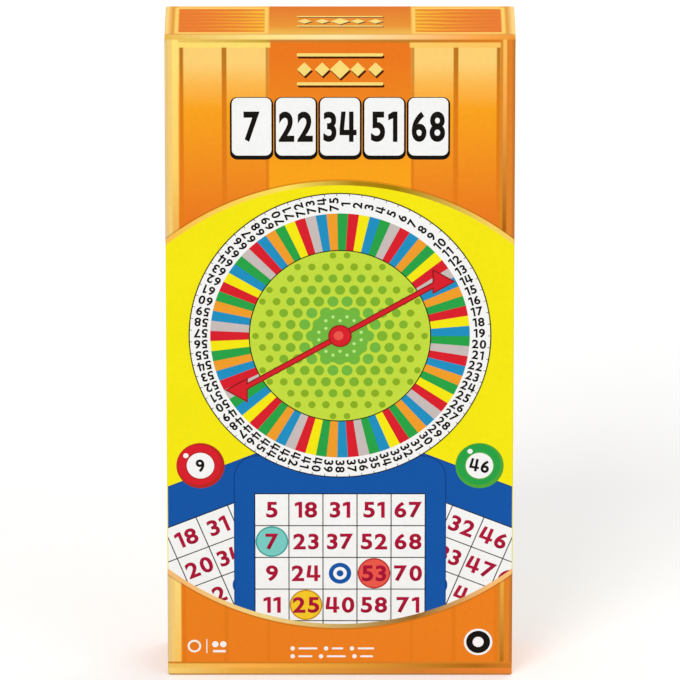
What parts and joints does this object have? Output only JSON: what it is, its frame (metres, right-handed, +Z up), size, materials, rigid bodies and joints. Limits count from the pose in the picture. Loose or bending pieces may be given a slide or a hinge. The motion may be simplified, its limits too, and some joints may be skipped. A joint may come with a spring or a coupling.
{
  "type": "boxed bingo game",
  "caption": "Upright lift-off-lid game box with a moulded tray that holds a spinner board with a turning arrow, number cards, marker chips and a folded leaflet.",
  "frame": {"origin": "middle of the underside of the box as it stands on its short end", "axes": "+Z up along the long side, -Y out of the printed front of the lid, +X to the right of that front"},
  "size_m": [0.138, 0.04, 0.27],
  "materials": {
    "printed_wrap": "gloss",
    "plain_wrap": "satin",
    "chipboard": "matte",
    "tray_plastic": "satin",
    "leaflet_paper": "matte",
    "card_print": "satin",
    "spinner_print": "satin",
    "arrow_plastic": "gloss",
    "pivot_plastic": "satin",
    "chip_red": "gloss",
    "chip_yellow": "gloss",
    "chip_teal": "gloss"
  },
  "bodies": {
    "base": {"base_board": "chipboard", "base_wrap": "plain_wrap"},
    "tray": {"insert_tray": "tray_plastic"},
    "leaflet": {"rules_leaflet": "leaflet_paper"},
    "cards": {"card_01": "card_print", "card_02": "card_print", "card_03": "card_print", "card_04": "card_print", "card_05": "card_print", "card_06": "card_print", "card_07": "card_print", "card_08": "card_print", "card_09": "card_print", "card_10": "card_print", "card_11": "card_print", "card_12": "card_print", "card_13": "card_print", "card_14": "card_print", "card_15": "card_print", "card_16": "card_print"},
    "chips": {"chips_red": "chip_red", "chips_yellow": "chip_yellow", "chips_teal": "chip_teal"},
    "spinner": {"spinner_board_core": "chipboard", "spinner_face_sheet": "spinner_print", "spinner_back_sheet": "plain_wrap", "pivot_washer": "pivot_plastic", "pivot_stud": "arrow_plastic", "pivot_retainer": "pivot_plastic"},
    "arrow": {"spinner_arrow": "arrow_plastic"},
    "lid": {"lid_board": "chipboard", "lid_wrap": "printed_wrap"}
  },
  "joints": [
    {"name": "tray_lift", "type": "slide", "parent": "base", "child": "tray", "axis": [0, -1, 0], "range_m": [0, 0.045]},
    {"name": "leaflet_lift", "type": "slide", "parent": "tray", "child": "leaflet", "axis": [0, -1, 0], "range_m": [0, 0.04]},
    {"name": "cards_lift", "type": "slide", "parent": "leaflet", "child": "cards", "axis": [0, -1, 0], "range_m": [0, 0.04]},
    {"name": "chips_lift", "type": "slide", "parent": "cards", "child": "chips", "axis": [0, -1, 0], "range_m": [0, 0.04]},
    {"name": "spinner_lift", "type": "slide", "parent": "chips", "child": "spinner", "axis": [0, -1, 0], "range_m": [0, 0.02]},
    {"name": "lid_lift", "type": "slide", "parent": "spinner", "child": "lid", "axis": [0, -1, 0], "range_m": [0, 0.05]},
    {"name": "arrow_spin", "type": "hinge", "parent": "spinner", "child": "arrow", "pos_m": [0, -0.01478, 0.2004], "axis": [0, -1, 0], "continuous": true}
  ]
}
